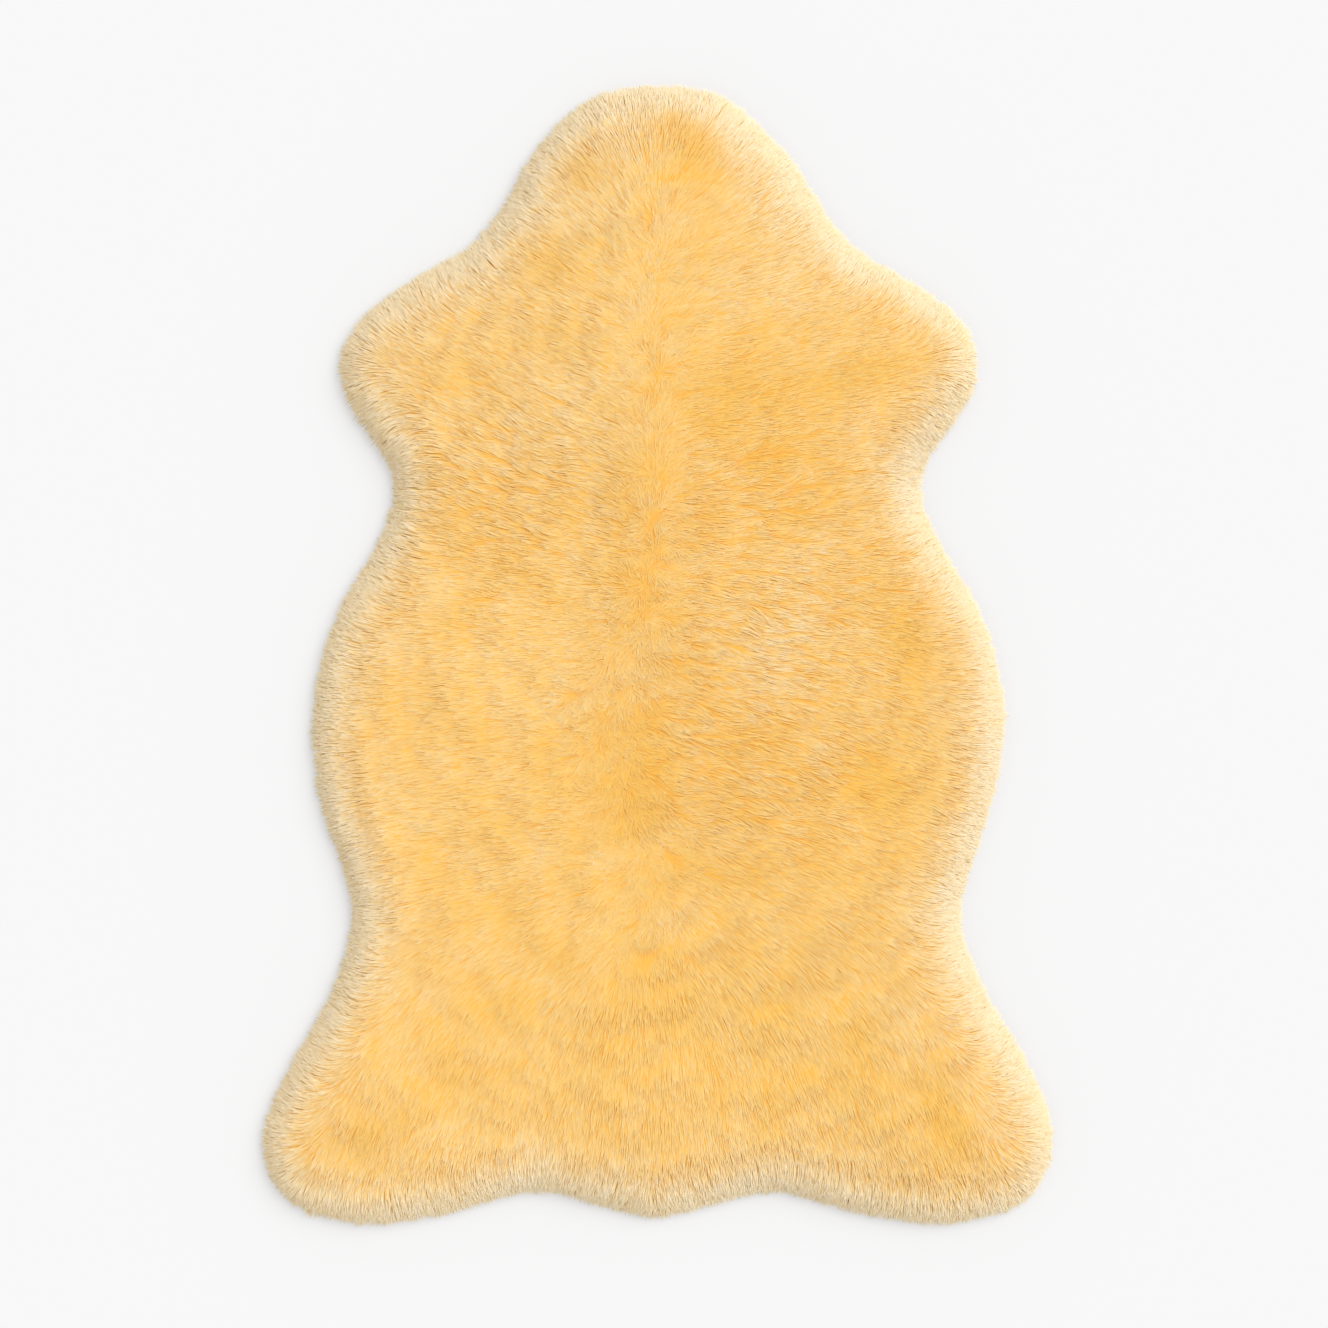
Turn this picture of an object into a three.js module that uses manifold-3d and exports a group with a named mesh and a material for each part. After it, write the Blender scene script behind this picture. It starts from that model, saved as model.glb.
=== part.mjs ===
// A sheepskin rug: one tanned lambskin laid flat on the floor, wool side up.
// It is cut to the natural outline of the pelt, with the neck at +Y, a lobe at each shoulder,
// drawn-in waists, a full belly, two hind legs and a short tail at -Y.
// The pelt is one piece, so it is one solid: the flat skin face that lies on the floor, a lumpy slab
// of clipped wool that leans out past the skin's cut edge, and locks of wool all round its rim.
// Millimetres, +Z up, the floor at z = 0, the middle of the rug at x = y = 0.

import * as THREE from "three";
import { mergeVertices } from "three/addons/utils/BufferGeometryUtils.js";
import Module from "manifold-3d";

const wasm = await Module();
wasm.setup();

// Driving dimensions
const hideThickness = 1.8;
const hideInset = 21; // the skin's cut edge, inside the tips of the wool
const woolInset = 8; // the wool's rim between its locks, inside their tips
const pileHeight = 32; // from the floor to the clipped top of the wool
const rimPointCount = 264; // every second one is a lock in each of the two rows of locks

// A place on the outline of the wool, from the neck's tip down the left side to the tail's tip.
// The right side is a little wider than the left.
const outline = [
  { part: "neck tip", y: 451, left: 4, right: 4 },
  { part: "neck corner", y: 443, left: 46, right: 52 },
  { part: "neck", y: 421, left: 76, right: 80 },
  { part: "neck side", y: 389, left: 102, right: 110 },
  { part: "nape", y: 357, left: 119, right: 130 },
  { part: "nape foot", y: 324, left: 146, right: 155 },
  { part: "shoulder top", y: 293, left: 200, right: 206 },
  { part: "shoulder", y: 262, left: 236, right: 245 },
  { part: "shoulder tip", y: 239, left: 249, right: 254 },
  { part: "under the shoulder tip", y: 212, left: 249, right: 253 },
  { part: "shoulder foot", y: 184, left: 233, right: 236 },
  { part: "armpit", y: 150, left: 210, right: 212 },
  { part: "waist", y: 128, left: 206, right: 209 },
  { part: "ribs", y: 88, left: 220, right: 226 },
  { part: "side", y: 29, left: 254, right: 260 },
  { part: "belly", y: -45, left: 271, right: 276 },
  { part: "belly foot", y: -114, left: 265, right: 267 },
  { part: "flank", y: -172, left: 246, right: 248 },
  { part: "loin", y: -209, left: 239, right: 241 },
  { part: "thigh", y: -270, left: 258, right: 264 },
  { part: "hind leg", y: -334, left: 294, right: 301 },
  { part: "leg side", y: -386, left: 311, right: 315 },
  { part: "leg corner", y: -430, left: 292, right: 294 },
  { part: "leg end", y: -449, left: 230, right: 228 },
  { part: "inside the leg", y: -439, left: 159, right: 157 },
  { part: "notch", y: -423, left: 97, right: 94 },
  { part: "beside the tail", y: -433, left: 47, right: 47 },
  { part: "tail tip", y: -444, left: 4, right: 4 },
];

// The pelt's section at its rim, from the cut edge of the skin up to the clipped wool.
// In a row with a reach, every second point is the tip of a lock that leans out and hangs down.
const rimSection = [
  { part: "skin face", inset: hideInset, height: 0 },
  { part: "skin edge", inset: hideInset, height: hideThickness },
  { part: "under the wool", inset: woolInset + 5, height: 1.2 },
  { part: "low locks", inset: woolInset, height: 8.5, reach: 8.8, drop: 5.5, first: 0 },
  { part: "between the rows", inset: woolInset + 1.5, height: 14 },
  { part: "high locks", inset: woolInset + 3.5, height: 20, reach: 8, drop: 4, first: 1 },
  { part: "rim shoulder", inset: woolInset + 9, height: 25 },
  { part: "rim top", inset: woolInset + 16, height: 29 },
  { part: "clipped edge", inset: woolInset + 26, height: 32 },
  { part: "above the wool", inset: woolInset + 27, height: 48 },
];
const lockUneven = { reach: 1.6, height: 1.4, sideways: 2.2 };

// Clipped wool: one grid point in four is the top of a tuft, and the rest lie in the clefts between.
const tufts = { pitch: 15, height: 5.2, uneven: 1.3, shift: 2.6, lean: 4 };
const crown = { x: 0, y: 40 }; // the wool lies away from here
const parting = { depth: 3.5, halfWidth: 15, from: 330, to: -150 }; // the furrow along the backbone
const swells = [
  { length: 190, turn: 0.4, height: 1 },
  { length: 140, turn: 1.9, height: 0.8 },
];

// A repeatable number from -1 to 1 for a place or a count.
function unevenness(a, b) {
  const mixed = Math.sin(a * 12.9898 + b * 78.233) * 43758.5453;
  return 2 * (mixed - Math.floor(mixed)) - 1;
}

// Points an even distance apart round the whole outline, anticlockwise from the neck's tip.
function outlinePoints(count) {
  const leftSide = outline.map((at) => new THREE.Vector3(-at.left, at.y, 0));
  const rightSide = outline.map((at) => new THREE.Vector3(at.right, at.y, 0)).reverse();
  const curve = new THREE.CatmullRomCurve3([...leftSide, ...rightSide], true, "centripetal");
  curve.arcLengthDivisions = 2000;
  return curve.getSpacedPoints(count).slice(0, count);
}

const rim = outlinePoints(rimPointCount);

const outwards = rim.map((point, k) => {
  const before = rim.at(k - 1);
  const after = rim[(k + 1) % rim.length];
  const run = after.clone().sub(before).normalize();
  return new THREE.Vector3(run.y, -run.x, 0);
});

// One row of the rim's section carried round the outline, with its locks pulled out of it.
function rimRow({ inset, height, reach = 0, drop = 0, first = 0 }) {
  return rim.map((point, k) => {
    const at = point.clone().addScaledVector(outwards[k], -inset).setZ(height);
    if (!reach || k % 2 !== first) return at;
    const along = new THREE.Vector3(-outwards[k].y, outwards[k].x, 0);
    at.addScaledVector(outwards[k], reach - lockUneven.reach * Math.abs(unevenness(k, first)));
    at.addScaledVector(along, lockUneven.sideways * unevenness(k, first + 2));
    return at.setZ(height - drop + lockUneven.height * unevenness(k, first + 4));
  });
}

function geometryFrom(points, index) {
  const geometry = new THREE.BufferGeometry();
  geometry.setFromPoints(points);
  geometry.setIndex(index);
  return geometry;
}

function solidFrom(geometry) {
  geometry.deleteAttribute("normal");
  geometry.deleteAttribute("uv");
  const merged = mergeVertices(geometry, 1e-4);
  return new wasm.Manifold(
    new wasm.Mesh({
      numProp: 3,
      vertProperties: new Float32Array(merged.attributes.position.array),
      triVerts: new Uint32Array(merged.index.array),
    }),
  );
}

function geometryOf(solid) {
  const mesh = solid.getMesh();
  const geometry = new THREE.BufferGeometry();
  geometry.setAttribute("position", new THREE.BufferAttribute(mesh.vertProperties, 3));
  geometry.setIndex(new THREE.BufferAttribute(mesh.triVerts, 1));
  return geometry;
}

// The pelt with its rounded rim and its locks, still taller than the wool: a ring of points for
// each row of the section, closed by a flat face below and above.
function peltBody() {
  const rings = rimSection.map(rimRow);
  const around = rim.length;
  const index = [];
  for (let r = 0; r + 1 < rings.length; r++) {
    for (let k = 0; k < around; k++) {
      const next = (k + 1) % around;
      const [a, b] = [r * around + k, r * around + next];
      const [c, d] = [a + around, b + around];
      index.push(a, b, c, b, d, c);
    }
  }
  const flat = (ring) => ring.map((p) => new THREE.Vector2(p.x, p.y));
  const top = (rings.length - 1) * around;
  for (const [a, b, c] of THREE.ShapeUtils.triangulateShape(flat(rings[0]), [])) {
    index.push(a, c, b);
  }
  for (const [a, b, c] of THREE.ShapeUtils.triangulateShape(flat(rings.at(-1)), [])) {
    index.push(top + a, top + b, top + c);
  }
  return solidFrom(geometryFrom(rings.flat(), index));
}

// A block as wide and long as the rug whose top is the lumpy surface of the wool.
function woolBlock() {
  const halfWidth = Math.max(...outline.map((at) => Math.max(at.left, at.right)));
  const halfLength = Math.max(...outline.map((at) => Math.abs(at.y)));
  const columns = 2 * (Math.ceil(halfWidth / tufts.pitch) + 1);
  const rows = 2 * (Math.ceil(halfLength / tufts.pitch) + 1);
  const [width, length] = [columns * tufts.pitch, rows * tufts.pitch];
  const block = new THREE.BoxGeometry(width, length, pileHeight, columns, rows, 1);
  block.translate(0, 0, pileHeight / 2);
  const at = block.getAttribute("position");
  for (let i = 0; i < at.count; i++) {
    if (at.getZ(i) < pileHeight / 2) {
      at.setZ(i, -pileHeight);
      continue;
    }
    const [x, y] = [at.getX(i), at.getY(i)];
    const [column, row] = [Math.round(x / tufts.pitch), Math.round(y / tufts.pitch)];
    const isTop = row % 2 === 0 && (column + row / 2) % 2 === 0 ? 1 : 0;
    const away = new THREE.Vector2(x - crown.x, 0.6 * (y - crown.y)).normalize();
    at.setX(i, x + tufts.shift * unevenness(column, row) + tufts.lean * isTop * away.x);
    at.setY(i, y + tufts.shift * unevenness(row, column + 50) + tufts.lean * isTop * away.y);
    at.setZ(i, woolHeight(x, y, isTop) + tufts.uneven * unevenness(column + 9, row));
  }
  return solidFrom(block);
}

function woolHeight(x, y, isTop) {
  let height = pileHeight + tufts.height * (isTop - 0.5);
  for (const swell of swells) {
    const along = x * Math.cos(swell.turn) + y * Math.sin(swell.turn);
    height += swell.height * Math.sin((2 * Math.PI * along) / swell.length);
  }
  const acrossParting = Math.max(0, 1 - Math.abs(x) / parting.halfWidth);
  const inParting = y < parting.from && y > parting.to;
  return height - (inParting ? parting.depth * acrossParting : 0);
}

const sheepskin = new THREE.Mesh(
  geometryOf(peltBody().intersect(woolBlock())),
  new THREE.MeshStandardMaterial({ color: "#f4c26d", roughness: 0.95, metalness: 0 }),
);
sheepskin.name = "sheepskin";

// The locks' tips set the size, so the rug is centred by its own box.
const bounds = new THREE.Box3().setFromObject(sheepskin);
sheepskin.position.set(-(bounds.min.x + bounds.max.x) / 2, -(bounds.min.y + bounds.max.y) / 2, 0);

const rug = new THREE.Group();
rug.add(sheepskin);

export default rug;
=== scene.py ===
# A golden lambskin rug laid flat on the floor, wool side up. Metres, +Z up, the neck at +Y.
import bpy
import math
import numpy as np
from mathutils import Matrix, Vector, noise
from types import SimpleNamespace


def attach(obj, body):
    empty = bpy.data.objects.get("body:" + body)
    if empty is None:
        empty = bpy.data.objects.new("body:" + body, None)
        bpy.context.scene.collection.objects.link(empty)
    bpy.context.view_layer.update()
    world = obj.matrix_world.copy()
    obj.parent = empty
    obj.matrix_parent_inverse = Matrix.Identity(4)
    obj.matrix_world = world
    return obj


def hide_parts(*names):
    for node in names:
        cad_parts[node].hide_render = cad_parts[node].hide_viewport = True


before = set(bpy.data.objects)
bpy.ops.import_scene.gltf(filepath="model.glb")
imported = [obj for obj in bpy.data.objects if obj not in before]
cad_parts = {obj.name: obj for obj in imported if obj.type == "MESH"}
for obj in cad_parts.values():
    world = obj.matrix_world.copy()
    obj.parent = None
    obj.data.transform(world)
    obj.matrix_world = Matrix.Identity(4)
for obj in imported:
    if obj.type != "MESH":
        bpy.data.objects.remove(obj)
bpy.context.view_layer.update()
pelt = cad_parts["sheepskin"]
mm = 0.001


# The camera stands straight above the rug, as in the photograph.
camera = {
    "lens": 100,
    "sensor": 36,
    "seenWidth": 1043.8 * mm,  # of the wool's plane, from edge to edge of the picture
    "middle": (4.3 * mm, -6.7 * mm, 20 * mm),
}


def placeCamera(c):
    lens = bpy.data.cameras.new("camera")
    lens.lens = c["lens"]
    lens.sensor_width = c["sensor"]
    stand = bpy.data.objects.new("camera", lens)
    bpy.context.scene.collection.objects.link(stand)
    distance = c["seenWidth"] * c["lens"] / c["sensor"]
    stand.location = Vector(c["middle"]) + Vector((0, 0, distance))
    bpy.context.scene.camera = stand


placeCamera(camera)
print("camera: in place")


# Materials are built from Python expressions: a Wire is one value on its way to the shader.
class Wire:
    def __init__(self, finish, socket):
        self.finish = finish
        self.socket = socket

    def __add__(self, other):
        return self.finish.maths("ADD", self, other)

    def __radd__(self, other):
        return self.finish.maths("ADD", other, self)

    def __sub__(self, other):
        return self.finish.maths("SUBTRACT", self, other)

    def __rsub__(self, other):
        return self.finish.maths("SUBTRACT", other, self)

    def __mul__(self, other):
        return self.finish.maths("MULTIPLY", self, other)

    def __rmul__(self, other):
        return self.finish.maths("MULTIPLY", other, self)


class Finish:
    def __init__(self, name, shader):
        self.material = bpy.data.materials.new(name)
        self.material.use_nodes = True
        self.tree = self.material.node_tree
        self.shader = self.tree.nodes["Principled BSDF"]
        for socket, value in shader.items():
            self.shader.inputs[socket].default_value = value

    def join(self, value, socket):
        if isinstance(value, Wire):
            self.tree.links.new(value.socket, socket)
        else:
            socket.default_value = value

    def node(self, kind, settings, inputs, output=0):
        made = self.tree.nodes.new("ShaderNode" + kind)
        for name, value in settings.items():
            if name == "stops":
                self.setStops(made.color_ramp, value)
            else:
                setattr(made, name, value)
        for name, value in inputs.items():
            self.join(value, made.inputs[name])
        return Wire(self, made.outputs[output])

    def setStops(self, ramp, stops):
        while len(ramp.elements) < len(stops):
            ramp.elements.new(1)
        for element, (place, colour) in zip(ramp.elements, stops):
            element.position = place
            element.color = colour

    def maths(self, operation, a, b):
        return self.node("Math", {"operation": operation}, {0: a, 1: b})

    def ramp(self, value, stops):
        return self.node("ValToRGB", {"stops": stops}, {"Fac": value})

    def blend(self, factor, a, b):
        # Sockets 0, 6, 7 and output 2 are the ones that a Mix node has for colours.
        return self.node("Mix", {"data_type": "RGBA"}, {0: factor, 6: a, 7: b}, output=2)

    def noise(self, place, scale, detail=2):
        return self.node("TexNoise", {}, {"Vector": place, "Scale": scale, "Detail": detail})

    def finishWith(self, **sockets):
        for name, value in sockets.items():
            self.join(value, self.shader.inputs[name.replace("_", " ")])
        return self.material


def paint(red, green, blue):
    # A colour from 0 to 255 as a screen shows it, in the shader's own linear scale.
    parts = [c / 255 for c in (red, green, blue)]
    return (*[p / 12.92 if p <= 0.04045 else ((p + 0.055) / 1.055) ** 2.4 for p in parts], 1)


# Golden wool: deep at the root and pale at the clipped tip. In the strands' map, u goes from the
# root's colour to the tip's, and v from a golden strand to a cream one.
strandLook = {
    "shader": {"Specular IOR Level": 0.15, "Sheen Weight": 0.1, "Sheen Roughness": 0.5},
    "golden": [
        (0.0, paint(247, 179, 70)),
        (0.35, paint(248, 193, 89)),
        (0.7, paint(246, 203, 113)),
        (1.0, paint(248, 212, 128)),
    ],
    "cream": [
        (0.0, paint(249, 198, 106)),
        (0.35, paint(250, 218, 150)),
        (0.7, paint(253, 238, 204)),
        (1.0, paint(254, 246, 230)),
    ],
    "streaks": {"along": 9, "across": 160, "depth": 0.1},
    "roughness": {"least": 0.82, "more": 0.14},
}


def strandWool(c):
    finish = Finish("woolStrands", c["shader"])
    chart = finish.node("UVMap", {"uv_map": "OFBake"}, {})
    along = finish.node("SeparateXYZ", {}, {0: chart}, output="X")
    paleness = finish.node("SeparateXYZ", {}, {0: chart}, output="Y")
    stretch = {0: along * c["streaks"]["along"], 1: paleness * c["streaks"]["across"]}
    streak = finish.noise(finish.node("CombineXYZ", {}, stretch), 1)
    tone = along + (streak - 0.5) * c["streaks"]["depth"]
    colour = finish.blend(paleness, finish.ramp(tone, c["golden"]), finish.ramp(tone, c["cream"]))
    roughness = c["roughness"]["least"] + streak * c["roughness"]["more"]
    return finish.finishWith(Base_Color=colour, Roughness=roughness)


# The under wool and the suede are mottled by a broad noise and a fine one, and the fine one also
# makes their nap.
underWoolLook = {
    "shader": {"Specular IOR Level": 0.1},
    "broad": {"scale": 26, "detail": 2, "share": 0.3},
    "fine": {"scale": 900, "detail": 3, "share": 0.7},
    "colours": [(0.3, paint(247, 178, 72)), (0.5, paint(248, 186, 83)), (0.7, paint(249, 195, 96))],
    "roughness": {"least": 0.85, "more": 0.15},
    "nap": {"Strength": 0.6, "Distance": 0.6 * mm},
}
suedeLook = {
    "shader": {"Specular IOR Level": 0.2, "Sheen Weight": 0.3},
    "broad": {"scale": 14, "detail": 4, "share": 0.8},
    "fine": {"scale": 1400, "detail": 2, "share": 0.2},
    "colours": [(0.35, paint(205, 172, 126)), (0.5, paint(218, 188, 144)), (0.65, paint(229, 203, 163))],
    "roughness": {"least": 0.8, "more": 0.2},
    "nap": {"Strength": 0.5, "Distance": 0.3 * mm},
}


def mottled(name, c):
    finish = Finish(name, c["shader"])
    place = finish.node("TexCoord", {}, {}, output="Object")
    broad = finish.noise(place, c["broad"]["scale"], c["broad"]["detail"])
    fine = finish.noise(place, c["fine"]["scale"], c["fine"]["detail"])
    colour = finish.ramp(broad * c["broad"]["share"] + fine * c["fine"]["share"], c["colours"])
    roughness = c["roughness"]["least"] + fine * c["roughness"]["more"]
    nap = finish.node("Bump", {}, {**c["nap"], "Height": fine})
    return finish.finishWith(Base_Color=colour, Roughness=roughness, Normal=nap)


# Small helpers for modelling.
def deselect():
    if bpy.context.object and bpy.context.object.mode != "OBJECT":
        bpy.ops.object.mode_set(mode="OBJECT")
    bpy.ops.object.select_all(action="DESELECT")


def mergedCopy(node, name):
    # A CAD node's mesh is loose triangles, so its copy is merged before it is shaped.
    deselect()
    copy = bpy.data.objects.new(name, node.data.copy())
    bpy.context.scene.collection.objects.link(copy)
    copy.data.materials.clear()
    bpy.context.view_layer.objects.active = copy
    copy.select_set(True)
    bpy.ops.object.mode_set(mode="EDIT")
    bpy.ops.mesh.select_all(action="SELECT")
    bpy.ops.mesh.remove_doubles(threshold=0.01 * mm)
    bpy.ops.object.mode_set(mode="OBJECT")
    return copy


def applyModifier(obj, kind, **settings):
    modifier = obj.modifiers.new(kind.lower(), kind)
    for name, value in settings.items():
        setattr(modifier, name, value)
    bpy.context.view_layer.objects.active = obj
    bpy.ops.object.modifier_apply(modifier=modifier.name)


def selectFaces(obj, wanted):
    bpy.ops.object.mode_set(mode="EDIT")
    bpy.ops.mesh.select_mode(type="FACE")
    bpy.ops.mesh.select_all(action="DESELECT")
    bpy.ops.object.mode_set(mode="OBJECT")
    for face in obj.data.polygons:
        face.select = wanted(face)
    bpy.ops.object.mode_set(mode="EDIT")


def pointsOf(obj):
    points = np.zeros(len(obj.data.vertices) * 3)
    obj.data.vertices.foreach_get("co", points)
    return points.reshape(-1, 3)


def normalsOf(obj):
    normals = np.zeros(len(obj.data.vertices) * 3)
    obj.data.vertex_normals.foreach_get("vector", normals)
    return normals.reshape(-1, 3)


def cornersOf(obj):
    obj.data.calc_loop_triangles()
    corners = np.zeros(len(obj.data.loop_triangles) * 3, int)
    obj.data.loop_triangles.foreach_get("vertices", corners)
    return corners.reshape(-1, 3)


def smoothStep(value, start, end):
    t = np.clip((value - start) / (end - start), 0, 1)
    return t * t * (3 - 2 * t)


def unit(vectors):
    return vectors / np.maximum(np.linalg.norm(vectors, axis=1, keepdims=True), 1e-9)


def crossway(vectors):
    return np.stack([-vectors[:, 1], vectors[:, 0]], 1)


def nearness(points, spot):
    # 1 in the middle of a spot, fading softly around it. The spot is given in millimetres.
    gap = np.hypot(points[:, 0] - spot["x"] * mm, points[:, 1] - spot["y"] * mm)
    return np.exp(-((gap / (spot["size"] * mm)) ** 2))


def cloudy(points, size, seed):
    # Soft noise from about -1 to 1. Each seed shows another part of it.
    return np.array([noise.noise(Vector(p) / size + Vector((seed, 7.3 * seed, 0))) for p in points])


# The tanned hide: a suede sheet with the outline of the skin face, cut with a knife.
hide = {
    "thickness": 1.6 * mm,
    "strips": [3 * mm, 12 * mm],  # widths of the rings of faces inside the cut edge
    "bevel": {"width": 0.5 * mm, "segments": 2},
    "skinFace": 0.05 * mm,  # faces of the solid above this height aren't its skin face
}


def makeHide(c):
    obj = mergedCopy(pelt, "hideSkin")
    selectFaces(obj, lambda face: face.center.z > c["skinFace"])
    bpy.ops.mesh.delete(type="FACE")
    bpy.ops.mesh.select_all(action="SELECT")
    bpy.ops.mesh.dissolve_limited(angle_limit=math.radians(1), use_dissolve_boundaries=False)
    bpy.ops.object.mode_set(mode="OBJECT")
    outline = [obj.data.vertices[v].co.copy() for v in obj.data.polygons[0].vertices]
    area = obj.data.polygons[0].area
    bpy.ops.object.mode_set(mode="EDIT")
    bpy.ops.mesh.select_all(action="SELECT")
    for strip in c["strips"]:
        bpy.ops.mesh.inset(thickness=strip)
    bpy.ops.object.mode_set(mode="OBJECT")
    applyModifier(obj, "SOLIDIFY", thickness=c["thickness"], offset=-1)
    applyModifier(obj, "BEVEL", limit_method="ANGLE", **c["bevel"])
    obj.data.materials.append(mottled("suede", suedeLook))
    return obj, outline, area


hideSkin, skinOutline, hideArea = makeHide(hide)
print("hide:", len(skinOutline), "points, area", round(hideArea, 4))


# How far a point lies inside the tips of the wool, and which way is outwards there.
skinInset = 21 * mm  # from the skin's cut edge out to the tips of the wool
ringFiner = 4  # points of the ring for each point of the skin's outline
batch = 4000  # points measured at a time, so that the table of their gaps stays small


def ringOf(outline):
    ring = np.array(outline)[:, :2]
    if np.sum(ring[:, 0] * np.roll(ring[:, 1], -1) - np.roll(ring[:, 0], -1) * ring[:, 1]) < 0:
        ring = ring[::-1]  # anticlockwise
    steps = np.arange(ringFiner)[None, :, None] / ringFiner
    ring = (ring[:, None] * (1 - steps) + np.roll(ring, -1, 0)[:, None] * steps).reshape(-1, 2)
    run = np.roll(ring, -ringFiner, 0) - np.roll(ring, ringFiner, 0)
    return ring, unit(-crossway(run))


def fromRim(points, ring, outwards):
    inset = np.zeros(len(points))
    away = np.zeros((len(points), 2))
    for start in range(0, len(points), batch):
        part = slice(start, start + batch)
        gaps = points[part, None, :2] - ring[None]
        nearest = (gaps ** 2).sum(2).argmin(1)
        gap = gaps[np.arange(len(nearest)), nearest]
        outside = (gap * outwards[nearest]).sum(1)
        inset[part] = skinInset - np.sign(outside) * np.linalg.norm(gap, axis=1)
        away[part] = outwards[nearest]
    return inset, away


# The dense wool close to the skin, under the strands.
denseWool = {
    "voxel": 6 * mm,
    "smoothing": {"factor": 0.5, "all": 12, "top": 60},
    "top": {"from": 26 * mm, "to": 48 * mm},  # insets between which the top is smoothed further
    "shrink": 3 * mm,
    "swell": {"size": 46 * mm, "height": 4 * mm},
    "lowest": 2 * mm,
}


def makeUnderWool(c, ring, outwards):
    obj = mergedCopy(pelt, "underWool")
    smoothing = c["smoothing"]
    applyModifier(obj, "REMESH", mode="VOXEL", voxel_size=c["voxel"], use_smooth_shade=True)
    applyModifier(obj, "SMOOTH", factor=smoothing["factor"], iterations=smoothing["all"])
    inset = fromRim(pointsOf(obj), ring, outwards)[0]
    top = obj.vertex_groups.new(name="top")
    for vertex, weight in zip(obj.data.vertices, smoothStep(inset, c["top"]["from"], c["top"]["to"])):
        if vertex.normal.z > 0:
            top.add([vertex.index], float(weight), "REPLACE")
    onTop = {"vertex_group": "top"}
    applyModifier(obj, "SMOOTH", factor=smoothing["factor"], iterations=smoothing["top"], **onTop)
    applyModifier(obj, "DISPLACE", strength=-c["shrink"], mid_level=0)
    clouds = bpy.data.textures.new("swell", "CLOUDS")
    clouds.noise_scale = c["swell"]["size"]
    swell = {"texture": clouds, "texture_coords": "LOCAL", "strength": c["swell"]["height"]}
    applyModifier(obj, "DISPLACE", mid_level=0, **swell, **onTop)
    obj.vertex_groups.clear()
    for vertex in obj.data.vertices:
        vertex.co.z = max(vertex.co.z, c["lowest"])
    obj.data.materials.append(mottled("underWool", underWoolLook))
    return obj


ring, outwards = ringOf(skinOutline)
underWool = makeUnderWool(denseWool, ring, outwards)
print("under wool:", len(underWool.data.polygons), "faces")


# How the wool lies, from the neck to the hem: it parts at the divide, turns flat to the side
# within the softness, and leans this far towards the neck for each step to the side.
# Places and softness are in millimetres.
lie = [
    {"y": 429, "divide": -3, "softness": 60, "rise": 1.2},  # neck tip
    {"y": 382, "divide": 0, "softness": 45, "rise": 0.9},  # neck
    {"y": 334, "divide": -3, "softness": 35, "rise": 0.55},  # nape
    {"y": 287, "divide": -3, "softness": 28, "rise": 0.33},  # shoulders
    {"y": 193, "divide": -3, "softness": 17, "rise": 0.27},  # withers
    {"y": 99, "divide": -3, "softness": 15, "rise": 0.14},  # back
    {"y": 67, "divide": -6, "softness": 14, "rise": 0.0},  # crown
    {"y": 4, "divide": -20, "softness": 30, "rise": -0.15},  # below the crown
    {"y": -66, "divide": -42, "softness": 34, "rise": -0.26},  # belly
    {"y": -137, "divide": -15, "softness": 35, "rise": -0.24},  # belly foot
    {"y": -184, "divide": -8, "softness": 40, "rise": -0.38},  # loin
    {"y": -231, "divide": -6, "softness": 55, "rise": -0.7},  # loin foot
    {"y": -279, "divide": -5, "softness": 70, "rise": -1.4},  # rump
    {"y": -326, "divide": 0, "softness": 90, "rise": -2.2},  # thighs
    {"y": -373, "divide": 0, "softness": 110, "rise": -2.6},  # legs
    {"y": -420, "divide": 0, "softness": 130, "rise": -2.2},  # hem
]
combing = {
    "leftLift": 0.1,  # the left side leans this much more towards the neck than the right
    "rim": {"from": 62 * mm, "to": 20 * mm},  # the wool turns outwards between these insets
    "wander": {"size": 13 * mm, "reach": 9 * mm, "seed": 3},  # how the divide strays to the side
}


def combed(points, inset, away, wander):
    rows = lie[::-1]  # from the hem up, because interp wants y to rise
    y = [row["y"] * mm for row in rows]
    divide = np.interp(points[:, 1], y, [row["divide"] * mm for row in rows])
    softness = np.interp(points[:, 1], y, [row["softness"] * mm for row in rows])
    rise = np.interp(points[:, 1], y, [row["rise"] for row in rows])
    sideways = np.tanh((points[:, 0] - divide + wander) / softness)
    flow = np.stack([sideways, rise - combing["leftLift"] * sideways], 1)
    laid = np.linalg.norm(flow, axis=1).clip(0, 1)
    share = smoothStep(inset, combing["rim"]["from"], combing["rim"]["to"])[:, None]
    return unit(unit(flow) * (1 - share) + away * share), np.maximum(laid, share[:, 0])


# How pale the wool is, from golden at 0 to cream at 1.
paleWool = {
    "base": 0.2,
    "clouds": [{"size": 34 * mm, "seed": 1, "pale": 0.16}, {"size": 15 * mm, "seed": 2, "pale": 0.05}],
    # towards the rim the wool turns cream: partly its own paler edge, and partly painted light, for the
    # light that shines through the fibres at the rim
    "rim": {"from": 20 * mm, "fade": 18 * mm, "pale": 1.15},
    # by level, the deepest strands are painted less pale, which is painted shade; by strand and lock the
    # paleness differs at random
    "uneven": {"level": 0.2, "strand": 0.01, "lock": 0.01},
    "limits": (0.01, 0.99),
}
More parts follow.
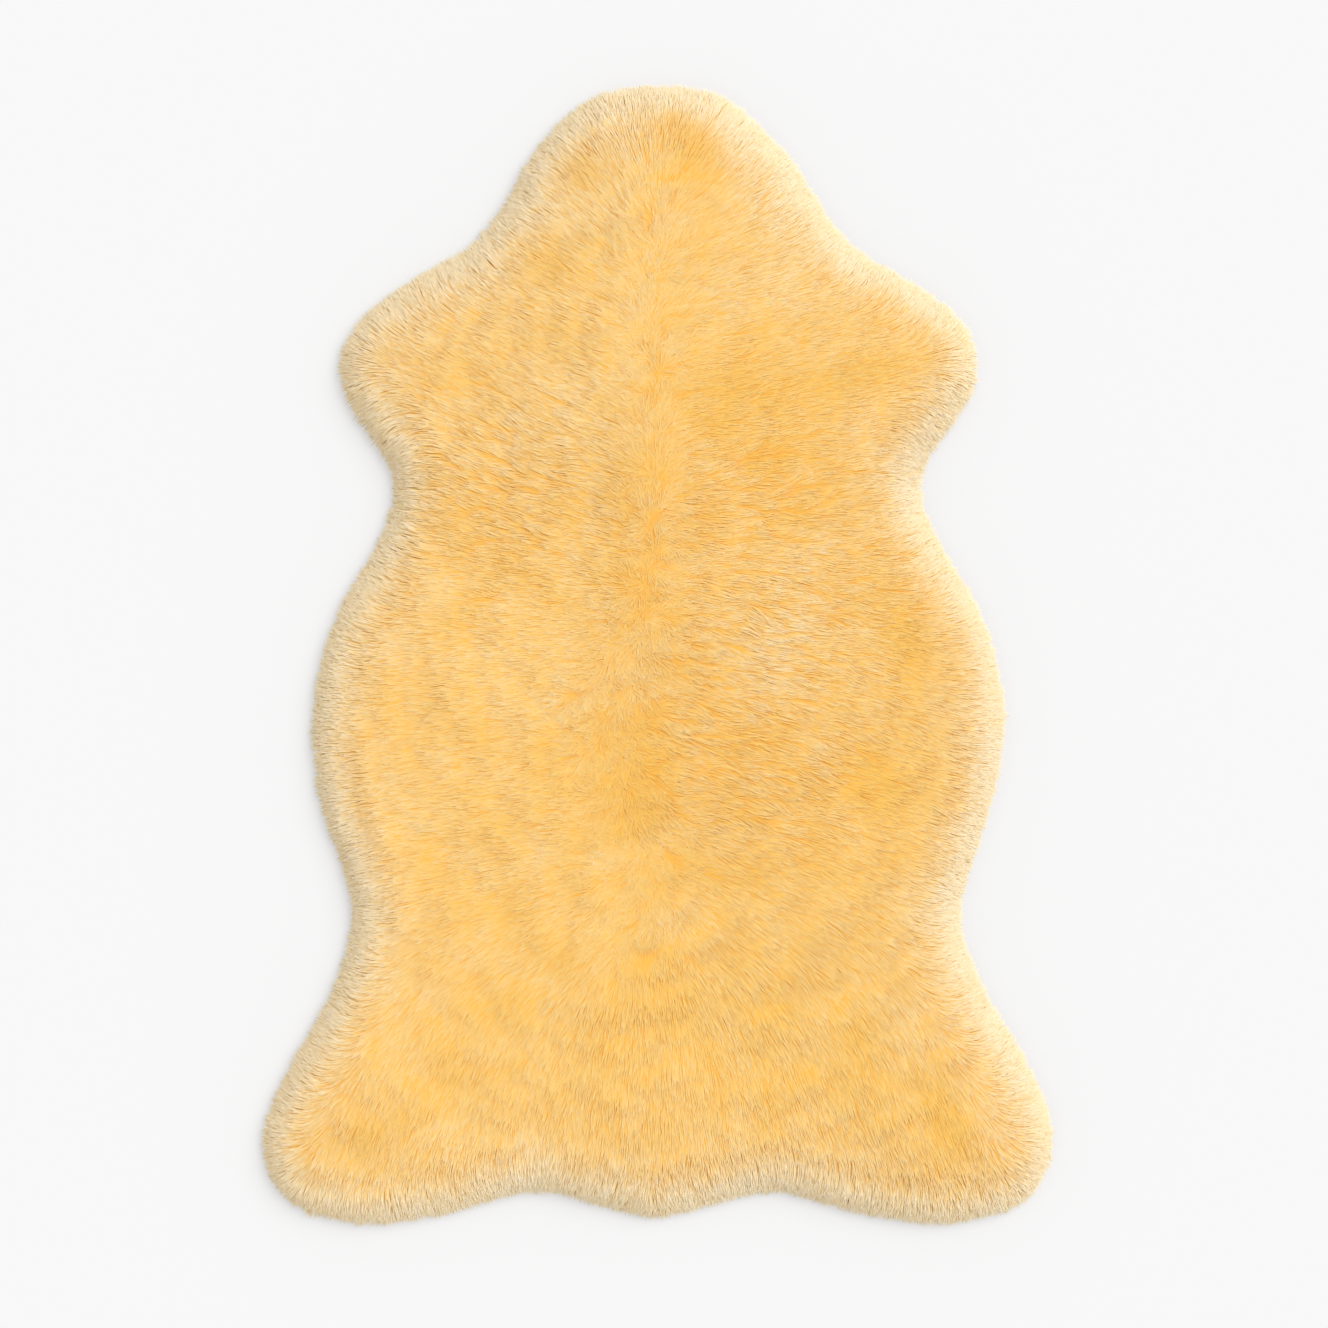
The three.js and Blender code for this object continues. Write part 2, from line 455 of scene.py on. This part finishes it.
# Soft patches where it is deeper or paler, with their places and sizes in millimetres.
patches = [
    {"x": 24, "y": 404, "size": 28, "pale": -0.42},  # neck
    {"x": 55, "y": 426, "size": 26, "pale": 0.5},  # neck tuft
    {"x": -54, "y": 373, "size": 18, "pale": -0.26},  # left of the neck
    {"x": 30, "y": 354, "size": 30, "pale": -0.26},  # nape
    {"x": -77, "y": 295, "size": 22, "pale": -0.2},  # left nape
    {"x": 172, "y": 236, "size": 42, "pale": -0.2},  # right shoulder
    {"x": 42, "y": 202, "size": 34, "pale": -0.14},  # withers
    {"x": -2, "y": 70, "size": 30, "pale": 0.02},  # crown
    {"x": 180, "y": 44, "size": 46, "pale": -0.2},  # right ribs
    {"x": 224, "y": -6, "size": 30, "pale": -0.14},  # right belly
    {"x": 190, "y": -108, "size": 44, "pale": -0.22},  # right flank
    {"x": -180, "y": 114, "size": 40, "pale": -0.16},  # left ribs
    {"x": -22, "y": -88, "size": 50, "pale": -0.12},  # left belly
    {"x": 92, "y": 20, "size": 58, "pale": 0.3},  # right back
    {"x": -92, "y": -16, "size": 46, "pale": 0.12},  # left back
    {"x": 0, "y": -330, "size": 230, "pale": -0.07},  # rump
    {"x": -230, "y": -360, "size": 60, "pale": -0.08},  # left leg
    {"x": 225, "y": -360, "size": 60, "pale": -0.14},  # right leg
    {"x": 0, "y": 370, "size": 100, "pale": 0.14},  # middle of the neck
    {"x": -90, "y": 170, "size": 60, "pale": 0.2},  # left withers
    {"x": 95, "y": 160, "size": 55, "pale": -0.06},  # right withers
]


def palenessAt(points, inset, c):
    pale = np.full(len(points), c["base"])
    for cloud in c["clouds"]:
        pale += cloud["pale"] * cloudy(points, cloud["size"], cloud["seed"])
    for patch in patches:
        pale += patch["pale"] * nearness(points, patch)
    # the last term is the rim's paleness, partly the wool's own and partly painted light
    return pale + c["rim"]["pale"] * np.exp(-np.maximum(inset - c["rim"]["from"], 0) / c["rim"]["fade"])


# The strands of the pelt, in five rows of pieces from the neck to the hem.
strands = {
    "pieces": ["neckWool", "shoulderWool", "backWool", "loinWool", "rumpWool"],
    "perPiece": 60000,
    "seed": 11,
    "below": {"slope": -0.5, "upTo": 25 * mm},  # on the underside, wool grows only round the hide
    "length": {"size": 15 * mm, "uneven": 0.12, "lockUneven": 0.03, "upright": 0.25},
    "width": {"size": 0.64 * mm, "uneven": 0.25, "atBend": 0.9},
    "partingDenser": 1.3,
    "bend": 0.68,  # of the length, where the strand turns over
    "rise": {"first": 0.042, "level": 0.4, "second": 0.015, "parted": 0.05, "cleft": 0.4, "rim": 0.3},
    "turn": {"lock": 0.05, "parted": 0.12, "strand": 0.07, "tangled": 0.8},
    "roll": 0.18,
    "stray": 2,  # standard deviations, past which no strand strays
    "lock": {"pitch": 11 * mm, "stretch": 2.4, "uneven": 0.45, "search": 3},
    "gather": {"everywhere": 0.02, "parted": 0.2, "looserAtRim": 0.6},  # of tips to their lock
    # the cleft's tone is painted shade: strands in a cleft between locks are painted a deeper golden
    "cleft": {"width": 0.17, "paintedShade": 0.5, "everywhere": 0.04},
    "rim": {"from": 36 * mm, "to": 14 * mm, "denser": 1.5, "droop": 0.35, "shorter": 0.2, "finer": 0.2},
    # the tone's level is painted shade: the strands that lie deepest are painted a deeper golden
    "tone": {"root": 0.05, "middle": 0.6, "tip": 0.85, "level": 0.06, "lock": 0.02, "limits": (0.02, 0.98)},
    "follow": 0.8,  # how far a strand follows the slope under it
    "seen": {"slope": 0.85, "up": 0.6},  # a ribbon shows the side that looks off the slope and up
    "softness": 0.9,  # how far the strands shade as the smooth surface does
    "lowest": 0.4 * mm,
}
# Where the wool parts into distinct locks, in millimetres.
partedWool = [
    {"x": 0, "y": 20, "size": 55},  # crown
    {"x": -2, "y": 110, "size": 45},  # spine
    {"x": -20, "y": -40, "size": 50},  # foot of the crown
    {"x": 5, "y": -90, "size": 60},  # left of the belly
    {"x": 90, "y": 20, "size": 90},  # right of the crown
    {"x": 70, "y": 130, "size": 80},  # withers
    {"x": 60, "y": -70, "size": 90},  # below the crown
    {"x": -110, "y": 130, "size": 70},  # left ribs
]


def nearestLock(roots, comb, c, rng):
    # Locks stand on a loose grid, and each strand joins the one that is nearest along its lie.
    pitch = c["pitch"]
    search = c["search"]  # cells looked into on each side
    low = roots[:, :2].min(0) - search * pitch
    cells = np.ceil((roots[:, :2].max(0) - low) / pitch).astype(int) + search + 1
    grid = np.stack(np.meshgrid(*[np.arange(n) for n in cells], indexing="ij"), 2)
    centres = low + (grid + 0.5 + rng.uniform(-c["uneven"], c["uneven"], grid.shape)) * pitch
    home = np.floor((roots[:, :2] - low) / pitch).astype(int)
    best = np.full(len(roots), np.inf)
    second = best.copy()
    lock = np.zeros((len(roots), 2), int)
    for i in range(-search, search + 1):
        for j in range(-search, search + 1):
            cell = home + (i, j)
            gap = roots[:, :2] - centres[cell[:, 0], cell[:, 1]]
            along = (gap * comb).sum(1) / c["stretch"]
            across = gap[:, 0] * comb[:, 1] - gap[:, 1] * comb[:, 0]
            far = np.hypot(along, across)
            closer = far < best
            second = np.where(closer, best, np.minimum(second, far))
            best[closer] = far[closer]
            lock[closer] = cell[closer]
    return lock[:, 0] * cells[1] + lock[:, 1], centres.reshape(-1, 2), (second - best) / pitch


def scatterRoots(obj, ring, outwards, c, rng):
    # Places on the under wool, and what the strands have to know of each.
    points = pointsOf(obj)
    corners = cornersOf(obj)
    inset, away = fromRim(points, ring, outwards)
    first, second, third = [points[corners[:, i]] for i in range(3)]
    faceNormal = np.cross(second - first, third - first)
    share = np.linalg.norm(faceNormal, axis=1)
    below = faceNormal[:, 2] < c["below"]["slope"] * share
    depth = inset[corners].mean(1)
    onTop = 1 + c["rim"]["denser"] * smoothStep(depth, c["rim"]["from"], c["rim"]["to"])
    share *= np.where(below, depth < c["below"]["upTo"], onTop)
    stray = combing["wander"]
    wander = stray["reach"] * cloudy(points, stray["size"], stray["seed"])
    laid = combed(points, inset, away, wander)[1]
    share *= 1 + c["partingDenser"] * (1 - laid[corners].mean(1))
    count = c["perPiece"] * len(c["pieces"])
    face = corners[rng.choice(len(corners), count, p=share / share.sum())]
    u, v = rng.random((2, count, 1))
    u, v = np.where(u + v > 1, 1 - u, u), np.where(u + v > 1, 1 - v, v)

    def at(values):
        table = values.reshape(len(points), -1)
        first, second, third = [table[face[:, i]] for i in range(3)]
        found = first + u * (second - first) + v * (third - first)
        return found if values.ndim > 1 else found[:, 0]

    return SimpleNamespace(
        root=at(points),
        normal=unit(at(unit(normalsOf(obj)))),
        inset=at(inset),
        away=unit(at(away)),
        wander=at(wander),
        pale=at(palenessAt(points, inset, paleWool)),
    )


def turnedComb(s, c):
    # A strand turns a little with its lock and by itself, and more where the wool isn't laid flat.
    tangled = c["tangled"] * (1 - s.laid)
    turned = (c["lock"] + c["parted"] * s.parted + tangled) * s.wild[:, 0]
    turned += (c["strand"] + tangled) * s.strayed[:, 0]
    return s.comb * np.cos(turned)[:, None] + crossway(s.comb) * np.sin(turned)[:, None]


def leanOf(s, c):
    # Strands lie along the slope under them, and droop over the rim.
    droop = -c["rim"]["droop"] * s.atRim * (1 - s.normal[:, 2].clip(0, 1))
    lean = np.column_stack([s.comb, droop])
    upwards = s.normal[:, 2:].clip(0, 1)
    return lean - c["follow"] * upwards * (lean * s.normal).sum(1, keepdims=True) * s.normal


def bendStrands(s, c):
    # A strand rises a little to its bend, lies flatter from there, and leans its tip to its lock.
    lengths = c["length"]
    uneven = 1 + lengths["uneven"] * s.strayed[:, 1] + lengths["lockUneven"] * s.wild[:, 1]
    length = lengths["size"] * uneven
    length *= (1 - c["rim"]["shorter"] * s.atRim) * (1 - lengths["upright"] * (1 - s.laid))
    rise = c["rise"]
    firstRise = (rise["first"] + rise["parted"] * s.parted) * (1 + rise["level"] * s.level)
    firstRise *= (1 - rise["cleft"] * s.cleft) * (1 - rise["rim"] * s.atRim)
    secondRise = rise["second"] + rise["parted"] * s.wild[:, 2] * s.parted
    lean = leanOf(s, c)
    middle = s.root + unit(lean + s.normal * firstRise[:, None]) * (c["bend"] * length)[:, None]
    tip = middle + unit(lean + s.normal * secondRise[:, None]) * ((1 - c["bend"]) * length)[:, None]
    gather = c["gather"]["everywhere"] + c["gather"]["parted"] * s.parted
    gather *= 1 - c["gather"]["looserAtRim"] * s.atRim
    reach = np.linalg.norm((tip - s.root)[:, :2], axis=1, keepdims=True)
    tip[:, :2] += (s.centre + s.comb * reach - tip[:, :2]) * gather[:, None]
    middle[:, 2] = np.maximum(middle[:, 2], c["lowest"])
    tip[:, 2] = np.maximum(tip[:, 2], c["lowest"])
    return middle, tip


def ribbonsOf(s, middle, tip, c, rng):
    # Each ribbon has two corners at its root, two at its bend and one at its tip.
    seen = unit(s.normal * c["seen"]["slope"] + [0, 0, c["seen"]["up"]])
    side = unit(np.cross(unit(tip - s.root), seen))
    roll = rng.uniform(-c["roll"], c["roll"], len(tip))[:, None]
    side = unit(side * np.cos(roll) + seen * np.sin(roll))
    widths = c["width"]
    width = widths["size"] * (1 + widths["uneven"] * s.strayed[:, 2]) * (1 - c["rim"]["finer"] * s.atRim)
    side = side * (width / 2)[:, None]
    bendSide = side * widths["atBend"]
    corners = np.stack([s.root - side, s.root + side, middle + bendSide, middle - bendSide, tip], 1)
    facing = unit(np.cross(side, tip - s.root))
    hidden = (facing * seen).sum(1) < 0
    corners[hidden] = corners[hidden][:, [1, 0, 3, 2, 4]]
    facing[hidden] *= -1
    return corners, unit(facing * (1 - c["softness"]) + seen * c["softness"])


def tonesOf(s, c):
    # From the root's colour to the tip's. A strand that lies deep, or in a cleft, is painted a deeper
    # golden towards its tip: painted shade, for the shade that falls among the strands.
    uneven = c["tone"]["level"] * s.level - c["cleft"]["paintedShade"] * s.cleft
    tip = (c["tone"]["tip"] + c["tone"]["lock"] * s.wild[:, 1] + uneven).clip(*c["tone"]["limits"])
    root = np.full(len(tip), c["tone"]["root"])
    middle = root + (tip - root) * c["tone"]["middle"]
    return np.stack([root, root, middle, middle, tip], 1)


def palenessOf(s, c, rng):
    # painted shade: the strands that lie deepest are painted less pale
    pale = s.pale * (1 + c["uneven"]["level"] * s.level)
    pale += c["uneven"]["lock"] * s.wild[:, 1] + c["uneven"]["strand"] * rng.normal(size=len(pale))
    return pale.clip(*c["limits"])


def growStrands(obj, ring, outwards, c):
    # The order in which the random numbers are drawn decides how each strand grows.
    rng = np.random.default_rng(c["seed"])
    s = scatterRoots(obj, ring, outwards, c, rng)
    s.comb, s.laid = combed(s.root, s.inset, s.away, s.wander)
    s.parted = np.max([nearness(s.root, zone) for zone in partedWool], 0)
    s.atRim = smoothStep(s.inset, c["rim"]["from"], c["rim"]["to"])
    lock, centres, border = nearestLock(s.root, s.comb, c["lock"], rng)
    s.centre = centres[lock]
    s.wild = rng.normal(size=(len(centres), 3))[lock]  # what a whole lock has in common
    s.strayed = rng.normal(size=(len(lock), 4)).clip(-c["stray"], c["stray"])
    s.level = s.strayed[:, 3]  # the strands that rise least lie deepest, and are painted the most golden, as painted shade
    # the clefts between the locks: the strands there rise less, and their tone is painted shade
    s.cleft = np.maximum(s.parted, c["cleft"]["everywhere"]) * smoothStep(border, c["cleft"]["width"], 0)
    s.comb = turnedComb(s, c["turn"])
    middle, tip = bendStrands(s, c)
    corners, normal = ribbonsOf(s, middle, tip, c, rng)
    pale = palenessOf(s, paleWool, rng)
    return {"corners": corners, "normal": normal, "tone": tonesOf(s, c), "pale": pale}


# A ribbon's two faces, by their corners, and how far each corner stands to the side in the map.
ribbon = {
    "faces": [(0, 1, 2, 3), (3, 2, 4)],
    "chart": np.array([-1, 1, 1, -1, 0]) * 0.0015,
}


def strandPiece(name, s, material):
    count, corners = s["corners"].shape[:2]
    turns = np.concatenate(ribbon["faces"])
    loops = (np.arange(count)[:, None] * corners + turns).ravel()
    starts = (np.arange(count)[:, None] * len(turns) + [0, len(ribbon["faces"][0])]).ravel()
    mesh = bpy.data.meshes.new(name)
    mesh.vertices.add(count * corners)
    mesh.vertices.foreach_set("co", s["corners"].astype(np.float32).ravel())
    mesh.loops.add(len(loops))
    mesh.loops.foreach_set("vertex_index", loops.astype(np.int32))
    mesh.polygons.add(len(starts))
    mesh.polygons.foreach_set("loop_start", starts.astype(np.int32))
    mesh.update(calc_edges=True)
    mesh.polygons.foreach_set("use_smooth", np.ones(len(starts), bool))
    chart = mesh.uv_layers.new(name="OFBake")
    place = np.stack([s["tone"], s["pale"][:, None] + ribbon["chart"]], 2).reshape(-1, 2)[loops]
    chart.data.foreach_set("uv", place.astype(np.float32).ravel())
    mesh.normals_split_custom_set_from_vertices(np.repeat(s["normal"], corners, 0))
    mesh.materials.append(material)
    obj = bpy.data.objects.new(name, mesh)
    bpy.context.scene.collection.objects.link(obj)
    return obj


grown = growStrands(underWool, ring, outwards, strands)
order = np.argsort(-grown["corners"][:, 0, 1], kind="stable")  # from the neck to the hem
woolMaterial = strandWool(strandLook)
woolPieces = []
for row, name in enumerate(strands["pieces"]):
    share = order[row * strands["perPiece"]:(row + 1) * strands["perPiece"]]
    woolPieces.append(strandPiece(name, {key: value[share] for key, value in grown.items()}, woolMaterial))
    print("wool:", name, len(share), "strands")


# The pieces on their body, in place of the CAD solid.
for piece in [hideSkin, underWool, *woolPieces]:
    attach(piece, "root")
    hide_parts("sheepskin")
skinSize = [max(p[i] for p in skinOutline) - min(p[i] for p in skinOutline) for i in range(2)]


# A pale floor under a bright even sky, with one broad soft light from the upper right.
studio = {
    "floor": {"size": 30, "height": -0.2 * mm, "grey": 0.42},
    "glow": 0.465,  # the white table is lit through, so that shadows on it are faint
    "sky": 0.605,
    "sun": {"strength": 2.08, "angle": 50, "from": (0.6, 0.45, 1.0)},
}


def lightStudio(c):
    deselect()
    white = (1, 1, 1, 1)
    bpy.ops.mesh.primitive_plane_add(size=c["floor"]["size"], location=(0, 0, c["floor"]["height"]))
    floor = bpy.context.object
    floor.name = "floor"
    grey = (c["floor"]["grey"],) * 3 + (1,)
    glow = {"Emission Color": white, "Emission Strength": c["glow"]}
    finish = Finish("floor", {"Base Color": grey, "Specular IOR Level": 0, **glow})
    floor.data.materials.append(finish.material)
    world = bpy.data.worlds.new("sky")
    bpy.context.scene.world = world
    world.use_nodes = True
    world.node_tree.nodes["Background"].inputs["Color"].default_value = white
    world.node_tree.nodes["Background"].inputs["Strength"].default_value = c["sky"]
    sun = bpy.data.lights.new("sun", "SUN")
    sun.energy = c["sun"]["strength"]
    sun.angle = math.radians(c["sun"]["angle"])
    lamp = bpy.data.objects.new("sun", sun)
    bpy.context.scene.collection.objects.link(lamp)
    lamp.rotation_euler = Vector(c["sun"]["from"]).to_track_quat("Z", "Y").to_euler()
    bpy.context.scene.view_settings.view_transform = "Standard"


lightStudio(studio)
print("studio: lit")
